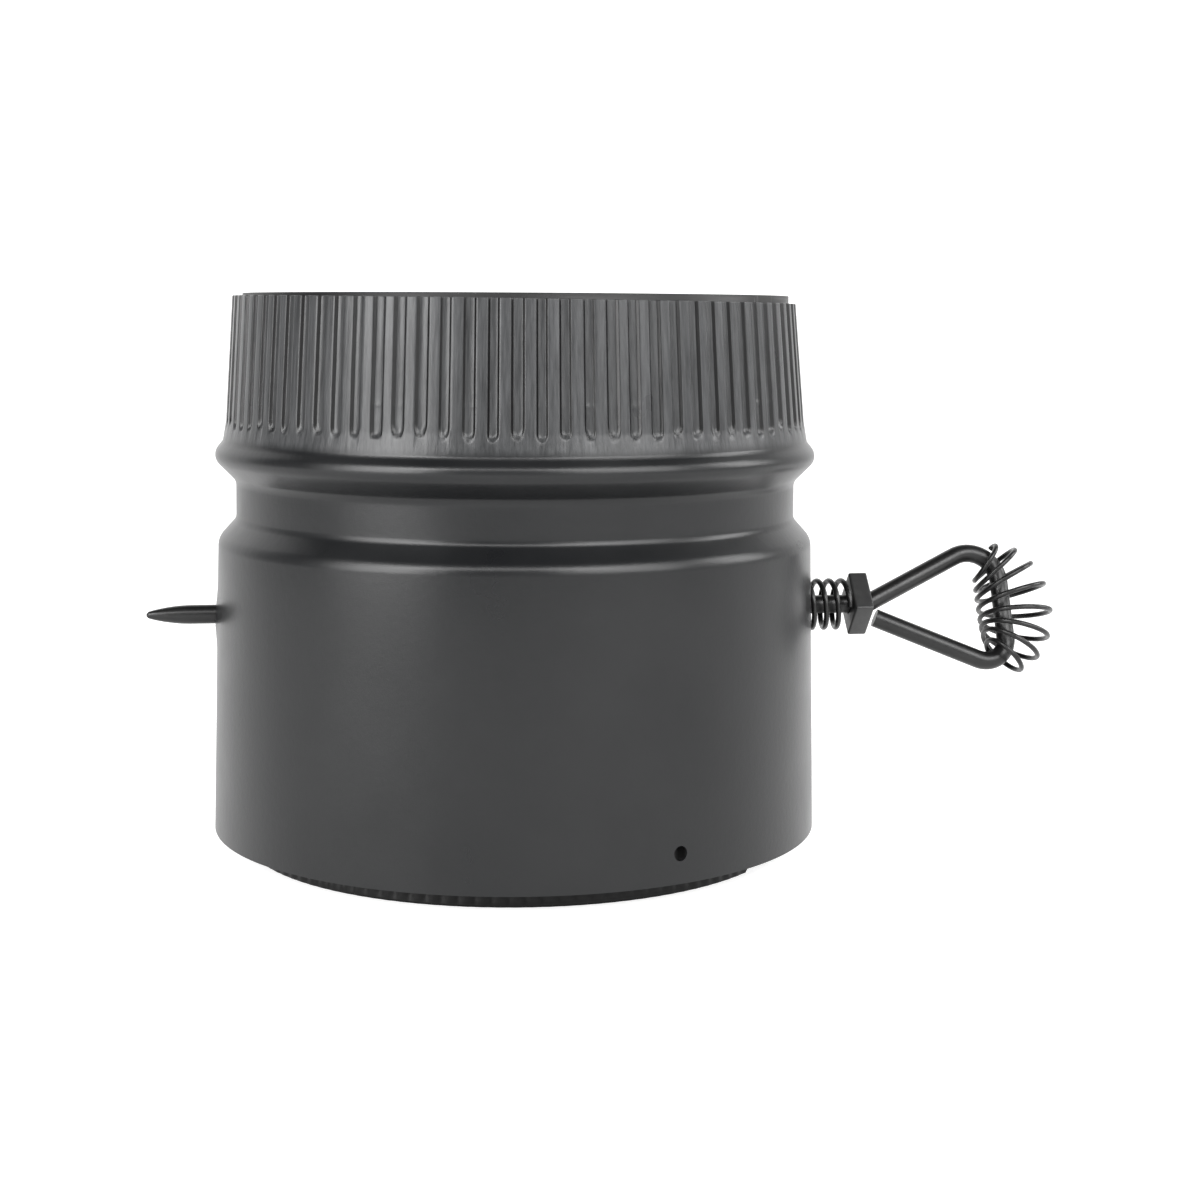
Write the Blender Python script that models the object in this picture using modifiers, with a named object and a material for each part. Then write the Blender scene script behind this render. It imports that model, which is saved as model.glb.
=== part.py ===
"""A short double-wall stovepipe section with a cast-iron damper plate on a spring-loaded rod.

The outer casing and the inner liner are rolled sheet. The rod runs through both along X, carries the plate in
the flue, and ends in a bent loop with a spiral wire grip. Pushed in against its spring and turned a quarter,
the rod's key leaves its slot in the plate. Units are metres, +Z is up and the origin is on the flue's axis at
the liner's lower edge. The handle is at +X and the front is at -Y.
"""
import math

import bmesh
import bpy
from mathutils import Matrix, Vector

GAP = 0.0003  # between pieces that touch

# The liner, a six-inch flue with a crimped lower end
LINER_BORE_R = 0.0762
LINER_WALL = 0.0005
LINER_SIDES = 56
LINER_CRIMPS = 112
LINER_CRIMP_FADE = 0.004
LINER_CRIMP_DEPTH = 0.0007
LINER_CRIMP_PLAY = 0.0001  # between the crimps and the bore of the liner that they enter
LINER_CRIMP_TAPER = 0.0004  # how much narrower the crimped end is at its edge
LINER_PROUD = 0.0018  # above the casing's rim
RIB_HEIGHT = 0.0011  # the rolled rib that centres the liner in the casing's waist
RIB_RUN = 0.005

# The outer casing, heights counted from its own lower edge
AIR_GAP = 0.0068
CASING_WALL = 0.0006
CASING_UP = 0.0054  # its lower edge above the liner's
CASING_SIDES = 84
FLARE = 0.001
BODY_HEIGHT = 0.0814
BODY_IN = 0.00045  # how much narrower the body is at its top
SHOULDER_FILLET = 0.0045
SHOULDER_SLOPE = 0.0066
WAIST_HEIGHT = 0.0096
WAIST_FILLET = 0.004
BEAD_SLOPE = 0.0069
BEAD_PROUD = 0.0015  # at the corner of its rounded crest
BEAD_FILLET = 0.004
BEAD_TO_CRIMPS = 0.0042
RUNOUT_IN = 0.0018  # where the crimps have run out
CRIMP_HEIGHT = 0.039
CRIMP_FADE = 0.0057
CRIMP_DEPTH = 0.0009
CRIMP_FOOT_IN = 0.00275
CRIMP_RIM_IN = 0.0052
CRIMP_RIDGE = 0.5  # share of a crimp's pitch that its flat ridge takes
CRIMP_FLANK = 0.09

# Holes for the screws that join the next section
SCREW_HOLE_R = 0.00165
SCREW_HOLE_HEIGHT = 0.0078
SCREW_HOLES = 3
SCREW_HOLE_ANGLE = math.radians(-67)

# Stand-off clips across the air gap
CLIPS = 3
CLIP_ANGLE = math.radians(-90)
CLIP_WIDTH = 0.012
CLIP_SHEET = 0.0008
CLIP_OVER_JOINT = 0.0012  # above what enters from the section below
CLIP_UNDER_SHOULDER = 0.0113

# The rod, its key and its handle loop
ROD_R = 0.00265
ROD_UP = 0.0598  # above the casing's lower edge
REST_TILT = math.radians(24)  # of the plate and the loop from upright, top to the back
TIP_OUT = 0.0195  # beyond the casing
TIP_TAPER = 0.0125
TIP_BLUNT = 0.27
TIP_STEPS = 5
KEY_LENGTH = 0.0026
KEY_THICKNESS = 0.0018
KEY_REACH = 0.0036
HOLE_PLAY = 0.0006
BEND_FILLET = 0.004
LOOP_TOP = (0.0411, 0.0205)  # corners of the loop's centre line, from its first bend
LOOP_LOW = (0.041, -0.0215)
LOOP_END = (0.0018, -0.0044)
LOOP_TOP_FILLET = 0.0089
LOOP_LOW_FILLET = 0.0067
BEND_STEPS = 6

# The collar and the tension spring between it and the casing
SPRING_LENGTH = 0.0139
SPRING_R = 0.0068
SPRING_WIRE_R = 0.0008
SPRING_TURNS = 3.25
SPRING_STEPS = 14  # a turn
COLLAR_LENGTH = 0.0055
COLLAR_SIDE = 0.0131
COLLAR_BEVEL = 0.0009

# The spiral grip on the loop's outer side
GRIP_TURNS = 7.63
GRIP_CROWD = 0.2  # how much closer the turns lie towards both ends
GRIP_STEPS = 13  # a turn
GRIP_WIRE_R = 0.00075
GRIP_MID_R = 0.01065
GRIP_SWELL = 0.45  # lower makes a fuller barrel
GRIP_PULL = 0.0346
GRIP_TOP_TURN = math.radians(53)
GRIP_LOW_TURN = math.radians(-58)

# The damper plate
RING_GAP = 0.0117  # left open all round the closed plate
PLATE_THICKNESS = 0.0034
RIM_THICKNESS = 0.006
RIM_WIDTH = 0.005
RIM_ROUND = 0.0008
PLATE_STEPS = 46
RAIL_WIDTH = 0.003
RAIL_HEIGHT = 0.0075
WINDOW_HALF = 0.0044
HUB_R = 0.0066
HUB_LENGTH = 0.0235
HUB_PLAY = 0.0012
BOSS_R = 0.0072
BOSS_LENGTH = 0.016
SLOT_DEPTH = 0.0034
VENT_LENGTH = 0.03
VENT_R = 0.0045
VENT_ALONG = 0.025
VENT_ACROSS = 0.03

# Worked out from the sizes above
LINER_R = LINER_BORE_R + LINER_WALL
CASING_R = LINER_R + AIR_GAP + CASING_WALL
WAIST_R = LINER_R + RIB_HEIGHT + GAP + CASING_WALL
WAIST_LOW = BODY_HEIGHT + SHOULDER_SLOPE
WAIST_HIGH = WAIST_LOW + WAIST_HEIGHT
BEAD_Z = WAIST_HIGH + BEAD_SLOPE
CRIMP_Z = BEAD_Z + BEAD_TO_CRIMPS
CASING_HEIGHT = CRIMP_Z + CRIMP_HEIGHT
LINER_HEIGHT = CASING_UP + CASING_HEIGHT + LINER_PROUD
JOINT_DEPTH = CASING_HEIGHT - BEAD_Z  # how far two sections enter each other
LINER_CRIMP_HEIGHT = CASING_UP + JOINT_DEPTH + LINER_PROUD
LINER_CRIMP_R = LINER_BORE_R - LINER_CRIMP_PLAY
CLIP_UP = LINER_CRIMP_HEIGHT + CLIP_OVER_JOINT
CLIP_TOP = CASING_UP + BODY_HEIGHT - CLIP_UNDER_SHOULDER
GRIP_END_R = ROD_R + GAP + GRIP_WIRE_R
ROD_Z = CASING_UP + ROD_UP
WALL_X = CASING_R + FLARE - (FLARE + BODY_IN) * ROD_UP / BODY_HEIGHT  # the casing's outside at the rod
COLLAR_X = WALL_X + SPRING_LENGTH
BEND_X = COLLAR_X + COLLAR_LENGTH + GAP
TIP_X = -WALL_X - TIP_OUT
PLATE_R = LINER_BORE_R - RING_GAP
FLUE_FLAT_R = LINER_BORE_R * math.cos(math.pi / LINER_SIDES)
HUB_X = math.sqrt(FLUE_FLAT_R**2 - HUB_R**2) - GAP
SLOT_X = SLOT_DEPTH - BOSS_LENGTH / 2
KEY_X = SLOT_X - GAP - KEY_LENGTH


def collection(name):
    made = bpy.data.collections.new(name)
    bpy.context.scene.collection.children.link(made)
    return made


def material(name, colour, roughness, metallic):
    made = bpy.data.materials.new(name)
    made.use_nodes = True
    shader = made.node_tree.nodes["Principled BSDF"]
    shader.inputs["Base Color"].default_value = (*colour, 1)
    shader.inputs["Roughness"].default_value = roughness
    shader.inputs["Metallic"].default_value = metallic
    made.diffuse_color = (*colour, 1)
    return made


def add(name, data, group, finish=None, parent=None):
    """Links a new object, smooth where its faces meet at small angles."""
    made = bpy.data.objects.new(name, data)
    group.objects.link(made)
    made.parent = parent
    if finish:
        data.materials.append(finish)
    if isinstance(data, bpy.types.Mesh):
        data.shade_smooth()
        data.set_sharp_from_angle(angle=math.radians(35))
    return made


def add_cutter(name, bm, group, parent=None):
    mesh = bpy.data.meshes.new(name)
    bm.to_mesh(mesh)
    bm.free()
    made = add(name, mesh, group, parent=parent)
    made.hide_render = True
    made.display_type = "WIRE"
    return made


def combine(target, tool, operation):
    modifier = target.modifiers.new(tool.name, "BOOLEAN")
    modifier.operation = operation
    modifier.object = tool


def bar(radius, start, end, sides=16):
    """A round bar along X, as a bmesh."""
    bm = bmesh.new()
    lie = Matrix.Translation(((start + end) / 2, 0, 0)) @ Matrix.Rotation(math.pi / 2, 4, "Y")
    bmesh.ops.create_cone(
        bm, cap_ends=True, segments=sides, radius1=radius, radius2=radius, depth=end - start, matrix=lie
    )
    return bm


def block(low, high):
    """A box between two corners, as a bmesh."""
    low, high = Vector(low), Vector(high)
    bm = bmesh.new()
    bmesh.ops.create_cube(bm, size=1, matrix=Matrix.LocRotScale((low + high) / 2, None, high - low))
    return bm


def rounded(points, radii, steps):
    """The flat path through these points, each inner corner rounded to its own radius, or sharp with none."""
    points = [Vector(point) for point in points]
    path = [points[0]]
    for before, corner, after, radius in zip(points, points[1:], points[2:], radii):
        if not radius:
            path.append(corner)
            continue
        back, ahead = (before - corner).normalized(), (after - corner).normalized()
        half = back.angle(ahead) / 2
        reach = radius / math.tan(half)
        centre = corner + (back + ahead).normalized() * radius / math.sin(half)
        spoke = corner + back * reach - centre
        side = back * -radius
        for step in range(steps + 1):
            turn = (math.pi - 2 * half) * step / steps
            path.append(centre + spoke * math.cos(turn) + side * math.sin(turn))
    path.append(points[-1])
    return path


def inset(profile, wall):
    """A sheet's inner profile, one wall inside its outer one, with both ends kept level."""
    moved = [profile[0] - Vector((wall, 0))]
    for before, point, after in zip(profile, profile[1:], profile[2:]):
        first, second = (point - before).normalized(), (after - point).normalized()
        inward = Vector((-first.y - second.y, first.x + second.x)).normalized()
        moved.append(point + inward * wall / inward.dot(Vector((-first.y, first.x))))
    moved.append(profile[-1] - Vector((wall, 0)))
    return moved


def plain_ring(point, sides, phase):
    """A round ring of points, where point is its radius and height."""
    turns = [2 * math.pi * (i + phase) / sides for i in range(sides)]
    return [Vector((point.x * math.cos(turn), point.x * math.sin(turn), point.y)) for turn in turns]


def crimped_ring(radius, height, crimps, depth, ridge, flank):
    """A ring of flat ridges with grooves between them. With no flank its crimps are plain folds."""
    corners = [(-ridge / 2, 0), (ridge / 2, 0), (ridge / 2 + flank, depth), (1 - ridge / 2 - flank, depth)]
    if not flank:
        corners = [(0, 0), (0.5, depth)]
    ring = []
    for i in range(crimps):
        for share, sunk in corners:
            turn = 2 * math.pi * (i + share) / crimps
            ring.append(Vector(((radius - sunk) * math.cos(turn), (radius - sunk) * math.sin(turn), height)))
    return ring


def loft(bm, first, second):
    """Joins two rings of vertices. Where one has more, its grooves run out into the points of the other."""
    if len(first) > len(second):
        first, second = second, first
    count, fine = len(first), len(second) // len(first)
    for i in range(count):
        start = i * fine
        if fine == 1:
            bm.faces.new((first[i - 1], first[i], second[i], second[i - 1]))
            continue
        ridge = second[start : start + fine // 2]
        bm.faces.new((first[i], first[i - 1], *ridge))
        run = [second[(start + k) % len(second)] for k in range(fine // 2 - 1, fine + 1)]
        for here, there in zip(run, run[1:]):
            bm.faces.new((first[i], here, there))


def sheet_wall(name, outer, inner, group, finish):
    """A rolled sheet between its outer and its inner rings, all listed from the bottom up."""
    bm = bmesh.new()
    loop = [[bm.verts.new(point) for point in ring] for ring in outer + inner[::-1]]
    for first, second in zip(loop, loop[1:] + loop[:1]):
        loft(bm, first, second)
    bmesh.ops.recalc_face_normals(bm, faces=bm.faces)
    mesh = bpy.data.meshes.new(name)
    bm.to_mesh(mesh)
    bm.free()
    return add(name, mesh, group, finish)


def raised(rings, height):
    return [[point + Vector((0, 0, height)) for point in ring] for ring in rings]


def make_casing(parts, cutters, finish):
    corners = [
        (CASING_R + FLARE, 0),
        (CASING_R - BODY_IN, BODY_HEIGHT),
        (WAIST_R, WAIST_LOW),
        (WAIST_R, WAIST_HIGH),
        (CASING_R + BEAD_PROUD, BEAD_Z),
        (CASING_R - RUNOUT_IN, CRIMP_Z),
    ]
    outer = rounded(corners, (SHOULDER_FILLET, WAIST_FILLET, WAIST_FILLET, BEAD_FILLET), 2)
    inner = inset(rounded(corners, (SHOULDER_FILLET, 0, 0, BEAD_FILLET), 2), CASING_WALL)
    rings = []
    for profile, wall, ridge in ((outer, 0, CRIMP_RIDGE), (inner, CASING_WALL, CRIMP_RIDGE - CRIMP_FLANK)):
        made = [plain_ring(point, CASING_SIDES, 0.5) for point in profile]
        for rise, step_in in ((CRIMP_FADE, CRIMP_FOOT_IN), (CRIMP_HEIGHT, CRIMP_RIM_IN)):
            crimps = (CASING_SIDES, CRIMP_DEPTH, ridge, CRIMP_FLANK)
            made.append(crimped_ring(CASING_R - step_in - wall, CRIMP_Z + rise, *crimps))
        rings.append(raised(made, CASING_UP))
    casing = sheet_wall("outer_casing", *rings, parts, finish)
    for side, radius in ((-1, ROD_R + HOLE_PLAY), (1, KEY_REACH + HOLE_PLAY)):
        middle = side * (CASING_R + WAIST_R) / 2
        reach = CASING_R - WAIST_R
        hole = add_cutter(f"casing_hole_{side}", bar(radius, middle - reach, middle + reach), cutters)
        hole.location.z = ROD_Z
        combine(casing, hole, "DIFFERENCE")
    for i in range(SCREW_HOLES):
        tool = bar(SCREW_HOLE_R, CASING_R - AIR_GAP / 2, CASING_R + AIR_GAP / 2, 12)
        hole = add_cutter(f"screw_hole_{i + 1}", tool, cutters)
        hole.rotation_euler.z = SCREW_HOLE_ANGLE + 2 * math.pi * i / SCREW_HOLES
        hole.location.z = CASING_UP + SCREW_HOLE_HEIGHT
        combine(casing, hole, "DIFFERENCE")


def make_liner(parts, cutters, finish):
    """The crimped edge, then rings of half as many points past the crimps, with the rib at the waist."""
    middle = CASING_UP + (WAIST_LOW + WAIST_HIGH) / 2
    outer = [
        Vector((LINER_R, LINER_CRIMP_HEIGHT)),
        Vector((LINER_R, LINER_CRIMP_HEIGHT + LINER_CRIMP_FADE)),
        Vector((LINER_R, middle - RIB_RUN)),
        Vector((LINER_R + RIB_HEIGHT, middle)),
        Vector((LINER_R, middle + RIB_RUN)),
        Vector((LINER_R, LINER_HEIGHT)),
    ]
    rings = []
    for profile, wall in ((outer, 0), (inset(outer, LINER_WALL), LINER_WALL)):
        made = []
        for height in (0, LINER_CRIMP_HEIGHT - LINER_CRIMP_FADE):
            radius = LINER_CRIMP_R - wall - LINER_CRIMP_TAPER * (1 - height / LINER_CRIMP_HEIGHT)
            made.append(crimped_ring(radius, height, LINER_CRIMPS, LINER_CRIMP_DEPTH, 0, 0))
        made.append(plain_ring(profile[0], LINER_CRIMPS, 0.5))
        made += [plain_ring(point, LINER_SIDES, 0.75) for point in profile[1:]]
        rings.append(made)
    liner = sheet_wall("inner_liner", *rings, parts, finish)
    for side, radius in ((-1, ROD_R + HOLE_PLAY), (1, KEY_REACH + HOLE_PLAY)):
        middle = side * LINER_R
        tool = bar(radius, middle - AIR_GAP / 2, middle + AIR_GAP / 2)
        hole = add_cutter(f"liner_hole_{side}", tool, cutters)
        hole.location.z = ROD_Z
        combine(liner, hole, "DIFFERENCE")


def make_clip(index, parts, finish):
    """A Z-shaped strip from the liner's outside up and across to the casing's inside."""
    run = (CLIP_TOP - CLIP_UP) / 3
    foot_z, head_z = CLIP_UP + run, CLIP_TOP - run
    casing_inside = CASING_R - CASING_WALL - (FLARE + BODY_IN) * (CLIP_TOP - CASING_UP) / BODY_HEIGHT + FLARE
    near = LINER_R + GAP
    far = math.sqrt(casing_inside**2 - CLIP_WIDTH**2 / 4) - GAP
    lean = CLIP_SHEET * (far - near - CLIP_SHEET) / run
    outline = [
        (near, CLIP_UP),
        (near + CLIP_SHEET, CLIP_UP),
        (near + CLIP_SHEET, foot_z - lean),
        (far, head_z - lean),
        (far, CLIP_TOP),
        (far - CLIP_SHEET, CLIP_TOP),
        (far - CLIP_SHEET, head_z),
        (near, foot_z),
    ]
    bm = bmesh.new()
    face = bm.faces.new([bm.verts.new((x, -CLIP_WIDTH / 2, z)) for x, z in outline])
    swept = bmesh.ops.extrude_face_region(bm, geom=[face])["geom"]
    moved = [part for part in swept if isinstance(part, bmesh.types.BMVert)]
    bmesh.ops.translate(bm, verts=moved, vec=(0, CLIP_WIDTH, 0))
    bmesh.ops.recalc_face_normals(bm, faces=bm.faces)
    mesh = bpy.data.meshes.new(f"spacer_clip_{index + 1}")
    bm.to_mesh(mesh)
    bm.free()
    clip = add(mesh.name, mesh, parts, finish)
    clip.rotation_euler.z = CLIP_ANGLE + 2 * math.pi * index / CLIPS


def wire(name, points, radius, sides_level, group, finish, parent, radii=None):
    """A round bar bent along these points, as a mesh with welded end caps."""
    curve = bpy.data.curves.new(name + "_path", "CURVE")
    curve.dimensions = "3D"
    curve.bevel_depth = radius
    curve.bevel_resolution = sides_level
    curve.use_fill_caps = True
    spline = curve.splines.new("POLY")
    spline.points.add(len(points) - 1)
    for i, point in enumerate(points):
        spline.points[i].co = (*point, 1)
        spline.points[i].radius = radii[i] if radii else 1
    guide = bpy.data.objects.new(name + "_path", curve)
    group.objects.link(guide)
    graph = bpy.context.evaluated_depsgraph_get()
    mesh = bpy.data.meshes.new_from_object(guide.evaluated_get(graph))
    bpy.data.objects.remove(guide)
    mesh.name = name
    bm = bmesh.new()
    bm.from_mesh(mesh)
    bmesh.ops.remove_doubles(bm, verts=bm.verts, dist=0.00001)
    bmesh.ops.recalc_face_normals(bm, faces=bm.faces)
    bm.to_mesh(mesh)
    bm.free()
    mesh.materials.clear()
    return add(name, mesh, group, finish, parent)


def make_rod(parts, cutters, finish, axis):
    """The pointed rod, bent into the open triangular loop, with the key's two ears on it."""
    tip = [TIP_X + TIP_TAPER * i / TIP_STEPS for i in range(TIP_STEPS + 1)]
    rise = [math.sin(math.pi / 2 * i / TIP_STEPS) ** 0.8 for i in range(TIP_STEPS + 1)]
    swell = [TIP_BLUNT + (1 - TIP_BLUNT) * share for share in rise]
    corners = [(x + BEND_X, y) for x, y in ((0, 0), LOOP_TOP, LOOP_LOW, LOOP_END)]
    bends = (BEND_FILLET, LOOP_TOP_FILLET, LOOP_LOW_FILLET)
    loop = rounded([(KEY_X, 0), *corners], bends, BEND_STEPS)
    points = [(x, 0, 0) for x in tip] + [(point.x, point.y, 0) for point in loop]
    rod = wire("damper_rod", points, ROD_R, 3, parts, finish, axis, swell + [1] * len(loop))
    ears = block(
        (KEY_X, -KEY_THICKNESS / 2, -KEY_REACH),
        (KEY_X + KEY_LENGTH, KEY_THICKNESS / 2, KEY_REACH),
    )
    combine(rod, add_cutter("rod_key", ears, cutters, axis), "UNION")


def make_collar(parts, cutters, finish, axis):
    """A square block that stands on its corner while the plate is at rest."""
    half = COLLAR_SIDE / 2
    mesh = bpy.data.meshes.new("spring_collar")
    bm = block((COLLAR_X, -half, -half), (COLLAR_X + COLLAR_LENGTH, half, half))
    bm.to_mesh(mesh)
    bm.free()
    collar = add("spring_collar", mesh, parts, finish, axis)
    collar.rotation_euler.x = math.pi / 4 - axis.rotation_euler.x
    bevel = collar.modifiers.new("edges", "BEVEL")
    bevel.width = COLLAR_BEVEL
    bevel.segments = 1
    bore = add_cutter("collar_bore", bar(ROD_R + GAP, 0, COLLAR_X * 2), cutters, axis)
    combine(collar, bore, "DIFFERENCE")


def make_spring(parts, finish):
    start = WALL_X + GAP + SPRING_WIRE_R
    end = COLLAR_X - GAP - SPRING_WIRE_R
    count = round(SPRING_TURNS * SPRING_STEPS)
    points = []
    for i in range(count + 1):
        turn = 2 * math.pi * SPRING_TURNS * i / count
        across = Vector((0, -math.sin(turn), math.cos(turn))) * SPRING_R
        points.append(Vector((start + (end - start) * i / count, 0, ROD_Z)) + across)
    wire("tension_spring", points, SPRING_WIRE_R, 1, parts, finish, None)


def loop_corner(corner, before, after, radius, turn):
    """The point of a loop corner's rounding that faces this way, with the wire's heading there."""
    corner = Vector(corner)
    back, ahead = (Vector(before) - corner).normalized(), (Vector(after) - corner).normalized()
    centre = corner + (back + ahead).normalized() * radius / math.sin(back.angle(ahead) / 2)
    outward = Vector((math.cos(turn), math.sin(turn)))
    return centre + outward * radius, Vector((outward.y, -outward.x))


def make_grip(parts, finish, axis):
    """A barrel-shaped coil whose turns fan round the loop's outer side, from one corner to the other."""
    top, leave = loop_corner(LOOP_TOP, (0, 0), LOOP_LOW, LOOP_TOP_FILLET, GRIP_TOP_TURN)
    low, arrive = loop_corner(LOOP_LOW, LOOP_TOP, LOOP_END, LOOP_LOW_FILLET, GRIP_LOW_TURN)
    count = round(GRIP_TURNS * GRIP_STEPS)
    points = []
    for i in range(count + 1):
        t = i / count
        middle = (
            top * (2 * t**3 - 3 * t**2 + 1)
            + leave * GRIP_PULL * (t**3 - 2 * t**2 + t)
            + low * (3 * t**2 - 2 * t**3)
            + arrive * GRIP_PULL * (t**3 - t**2)
        )
        heading = (
            top * (6 * t**2 - 6 * t)
            + leave * GRIP_PULL * (3 * t**2 - 4 * t + 1)
            + low * (6 * t - 6 * t**2)
            + arrive * GRIP_PULL * (3 * t**2 - 2 * t)
        ).normalized()
        outward = Vector((-heading.y, heading.x, 0))
        radius = GRIP_END_R + (GRIP_MID_R - GRIP_END_R) * max(math.sin(math.pi * t), 0) ** GRIP_SWELL
        turn = GRIP_TURNS * (2 * math.pi * t + GRIP_CROWD * math.sin(2 * math.pi * t))
        swing = (outward * math.cos(turn) + Vector((0, 0, 1)) * math.sin(turn)) * radius
        points.append(Vector((middle.x + BEND_X, middle.y, 0)) + swing)
    wire("handle_coil", points, GRIP_WIRE_R, 1, parts, finish, axis)


def make_plate(parts, cutters, finish, axis):
    """The cast plate: a rimmed disc with railed windows over the rod, two hubs and a slotted boss."""
    half, rim, inner = PLATE_THICKNESS / 2, RIM_THICKNESS / 2, PLATE_R - RIM_WIDTH
    profile = [
        (0, half),
        (inner - RIM_ROUND, half),
        (inner, rim),
        (PLATE_R - RIM_ROUND, rim),
        (PLATE_R, rim - RIM_ROUND),
        (PLATE_R, RIM_ROUND - rim),
        (PLATE_R - RIM_ROUND, -rim),
        (inner, -rim),
        (inner - RIM_ROUND, -half),
        (0, -half),
    ]
    mesh = bpy.data.meshes.new("damper_plate")
    mesh.from_pydata([(r, 0, z) for r, z in profile], [(i, i + 1) for i in range(len(profile) - 1)], [])
    plate = add("damper_plate", mesh, parts, finish, axis)
    turned = plate.modifiers.new("turned", "SCREW")
    turned.steps = turned.render_steps = PLATE_STEPS
    turned.use_merge_vertices = True
    turned.merge_threshold = 0.0001

    rail = WINDOW_HALF + RAIL_WIDTH
    along = PLATE_R - RIM_WIDTH / 2
    hub_low = HUB_X - HUB_LENGTH
    boss = BOSS_LENGTH / 2
    added = {
        "rails": block((-along, -rail, -RAIL_HEIGHT / 2), (along, rail, RAIL_HEIGHT / 2)),
        "hub_left": bar(HUB_R, HUB_PLAY - HUB_X, -hub_low, 20),
        "hub_right": bar(HUB_R, hub_low, HUB_X, 20),
        "boss": bar(BOSS_R, -boss, boss, 20),
    }
    way = KEY_REACH + GAP
    key_half = KEY_THICKNESS / 2 + GAP
    cut = {
        "window_left": block((-hub_low, -WINDOW_HALF, -HUB_R), (-boss, WINDOW_HALF, HUB_R)),
        "window_right": block((boss, -WINDOW_HALF, -HUB_R), (hub_low, WINDOW_HALF, HUB_R)),
        "bore": bar(ROD_R + GAP, -LINER_R, LINER_R),
        "keyway": block((-boss - GAP, -way, -key_half), (LINER_R, way, key_half)),
        "key_slot": block((-boss - GAP, -key_half, -way), (SLOT_X, key_half, way)),
    }
    for x in (-VENT_ALONG, VENT_ALONG):
        for y in (-VENT_ACROSS, VENT_ACROSS):
            cut[f"vent_{x}_{y}"] = vent(x, y)
    for name, bm in added.items():
        combine(plate, add_cutter(name, bm, cutters, axis), "UNION")
    for name, bm in cut.items():
        combine(plate, add_cutter(name, bm, cutters, axis), "DIFFERENCE")


def vent(x, y):
    """A slot with round ends through the plate, as a bmesh."""
    bm = bmesh.new()
    bmesh.ops.create_cone(
        bm, cap_ends=True, segments=16, radius1=VENT_R, radius2=VENT_R, depth=RIM_THICKNESS
    )
    stretch = VENT_LENGTH / 2 - VENT_R
    for vert in bm.verts:
        vert.co.x += x + math.copysign(stretch, vert.co.x) * (abs(vert.co.x) > VENT_R * 0.01)
        vert.co.y += y
    return bm


for old in list(bpy.data.objects):
    bpy.data.objects.remove(old)
pieces = collection("stove_pipe_damper")
tools = collection("cutters")
black_paint = material("satin_black_paint", (0.075, 0.077, 0.08), 0.42, 0.0)
liner_steel = material("dark_liner_steel", (0.05, 0.05, 0.052), 0.45, 0.6)
cast_iron = material("cast_iron", (0.045, 0.044, 0.043), 0.65, 0.7)
clip_steel = material("clip_steel", (0.35, 0.35, 0.34), 0.4, 1.0)
black_steel = material("blackened_steel", (0.02, 0.02, 0.021), 0.35, 0.8)
spring_wire = material("spring_wire", (0.015, 0.015, 0.016), 0.3, 0.8)

turn_axis = bpy.data.objects.new("damper_axis", None)
pieces.objects.link(turn_axis)
turn_axis.location.z = ROD_Z
turn_axis.rotation_euler.x = math.pi / 2 - REST_TILT

make_casing(pieces, tools, black_paint)
make_liner(pieces, tools, liner_steel)
for number in range(CLIPS):
    make_clip(number, pieces, clip_steel)
make_plate(pieces, tools, cast_iron, turn_axis)
make_rod(pieces, tools, black_steel, turn_axis)
make_collar(pieces, tools, black_steel, turn_axis)
make_spring(pieces, spring_wire)
make_grip(pieces, spring_wire, turn_axis)
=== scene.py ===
"""The looks of the stovepipe section with its damper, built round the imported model.

Each visible piece is a finer mesh of the same form as its solid, with a procedural material.
Units are metres.
"""
import math
import random

import bmesh
import bpy
from mathutils import Matrix, Vector, noise


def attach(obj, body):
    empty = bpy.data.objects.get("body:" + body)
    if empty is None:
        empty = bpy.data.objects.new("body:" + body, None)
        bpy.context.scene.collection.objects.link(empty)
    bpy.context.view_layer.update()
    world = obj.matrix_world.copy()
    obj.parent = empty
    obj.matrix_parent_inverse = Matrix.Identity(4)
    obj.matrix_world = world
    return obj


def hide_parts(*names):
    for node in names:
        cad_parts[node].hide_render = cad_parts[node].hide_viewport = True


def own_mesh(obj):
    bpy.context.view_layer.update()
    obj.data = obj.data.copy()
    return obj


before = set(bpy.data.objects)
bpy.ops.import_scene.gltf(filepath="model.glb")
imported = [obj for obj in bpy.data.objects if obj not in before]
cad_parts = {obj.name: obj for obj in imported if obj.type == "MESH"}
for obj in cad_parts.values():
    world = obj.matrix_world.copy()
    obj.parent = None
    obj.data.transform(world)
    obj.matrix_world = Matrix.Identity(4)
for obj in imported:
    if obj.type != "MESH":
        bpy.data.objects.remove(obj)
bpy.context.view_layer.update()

# Sizes of the solids. BODY_HEIGHT, RUNOUT_Z, FOOT_Z and RIM_Z are counted from the casing's lower edge,
# the other heights from the section's foot.
CASING_UP = 0.0054
CASING_R = 0.0841
WALL = 0.0006
CRIMPS = 84
BODY_HEIGHT = 0.0814
RUNOUT_Z = 0.1087
FOOT_Z = 0.1144
RIM_Z = 0.1477
RUNOUT_R = CASING_R - 0.0018
FOOT_R = CASING_R - 0.00275
RIM_R = CASING_R - 0.0052
CRIMP_DEPTH = 0.0009
WAIST_R = CASING_R - 0.0054
SCREW_Z = 0.0132
SCREW_TURN = -67
LINER_R = 0.0767
LINER_WALL = 0.0005
LINER_BORE_R = 0.0762
LINER_HEIGHT = 0.1549
LINER_CRIMP_HEIGHT = 0.0504
LINER_CRIMPS = 112
ROD_R = 0.00265
ROD_Z = 0.0652
ROD_LEFT_HOLE_R = 0.00325
ROD_RIGHT_HOLE_R = 0.0042
REST_TILT = math.radians(24)
WALL_X = CASING_R + 0.001 - 0.00145 * 0.0598 / 0.0814
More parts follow.
